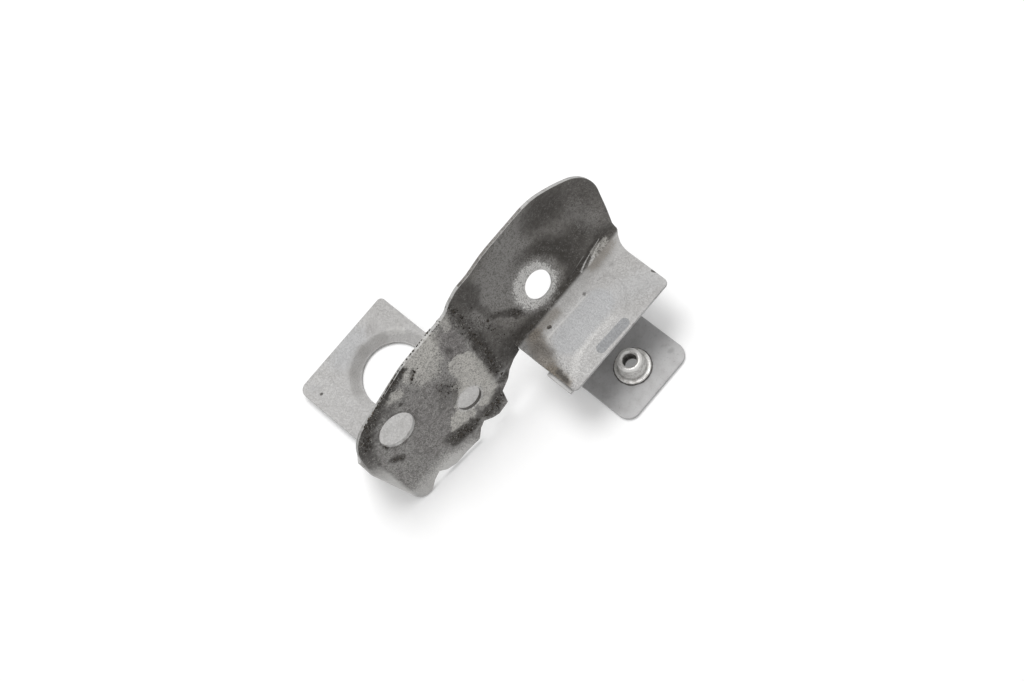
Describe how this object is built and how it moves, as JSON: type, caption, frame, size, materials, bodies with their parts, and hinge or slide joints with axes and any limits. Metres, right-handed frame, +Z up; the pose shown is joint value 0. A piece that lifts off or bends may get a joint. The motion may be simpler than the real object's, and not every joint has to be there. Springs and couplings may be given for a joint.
{
  "type": "stamped metal bracket",
  "caption": "Torn and weathered pressed-steel body bracket with a leaning dished strap, a flange, a floor tab with a large hole, and a spot-welded foot with a weld nut.",
  "frame": {"origin": "middle of the bounding box's base, on the surface that the bracket rests on", "axes": "+Y along the strap towards its dished end, +X from the tab towards the foot, +Z up"},
  "size_m": [0.0864, 0.103, 0.0524],
  "materials": {
    "dirty_steel": "painted, dirty",
    "painted_steel": "painted",
    "plated_steel": "zinc plated"
  },
  "bodies": {
    "root": {"bracket": "dirty_steel", "foot_plate": "painted_steel", "weld_nut": "plated_steel"}
  },
  "joints": []
}
